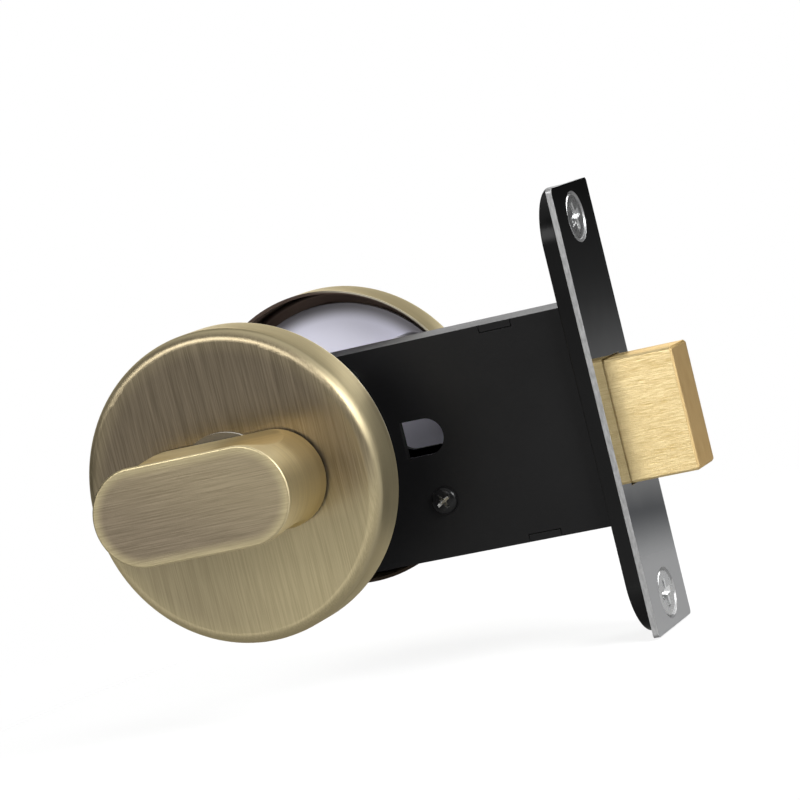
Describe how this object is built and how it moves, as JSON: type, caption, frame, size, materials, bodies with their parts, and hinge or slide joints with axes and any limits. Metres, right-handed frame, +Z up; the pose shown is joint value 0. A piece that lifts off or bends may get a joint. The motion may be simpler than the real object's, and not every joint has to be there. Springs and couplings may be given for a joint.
{
  "type": "toilet indicator bolt",
  "caption": "Bathroom mortice bolt with round brass roses: a thumb-turn inside drives the square bolt and turns a red and green indicator outside.",
  "frame": {"origin": "middle of the inner forend's rear face, which seats on the door edge", "axes": "+X out of the door edge along the bolt's throw, +Z up the forend, +Y along the spindle from the thumb-turn to the indicator"},
  "size_m": [0.0985, 0.0754, 0.076],
  "materials": {
    "black_paint": "satin black paint",
    "polished_steel": "mirror polish",
    "zinc_steel": "bright zinc",
    "spring_steel": "plain spring steel",
    "antique_brass": "brushed antique brass",
    "yellow_brass": "brushed",
    "white_nylon": "matt",
    "grey_nylon": "matt",
    "clear_lens": "clear",
    "indicator_paint": "red and green halves"
  },
  "bodies": {
    "lock": {"case_body": "black_paint", "case_cover": "black_paint", "case_pillars": "zinc_steel", "cover_screws": "black_paint", "inner_forend": "black_paint", "outer_forend": "polished_steel", "forend_screws": "zinc_steel", "friction_spring": "spring_steel", "front_rose_cover": "antique_brass", "front_rose_base": "white_nylon", "turn_bush": "grey_nylon", "rear_rose_cover": "antique_brass", "rear_rose_base": "white_nylon", "indicator_window": "clear_lens", "rose_screws": "zinc_steel", "sleeve_nuts": "zinc_steel"},
    "turn": {"thumb_turn": "antique_brass", "turn_clip": "spring_steel", "spindle": "zinc_steel", "follower": "zinc_steel", "release_turn": "antique_brass", "indicator_disc": "indicator_paint", "release_clip": "spring_steel"},
    "bolt": {"deadbolt": "yellow_brass", "bolt_tail": "zinc_steel", "bolt_rivets": "zinc_steel"}
  },
  "joints": [
    {"name": "turn_hinge", "type": "hinge", "parent": "lock", "child": "turn", "pos_m": [-0.0564, 0, 0.0025], "axis": [0, 1, 0], "range_deg": [0, 90]},
    {"name": "bolt_slide", "type": "slide", "parent": "lock", "child": "bolt", "axis": [-1, 0, 0], "range_m": [0, 0.012]}
  ],
  "couplings": [
    {"joint": "bolt_slide", "follows": "turn_hinge", "m_per_rad": 0.0076394}
  ]
}
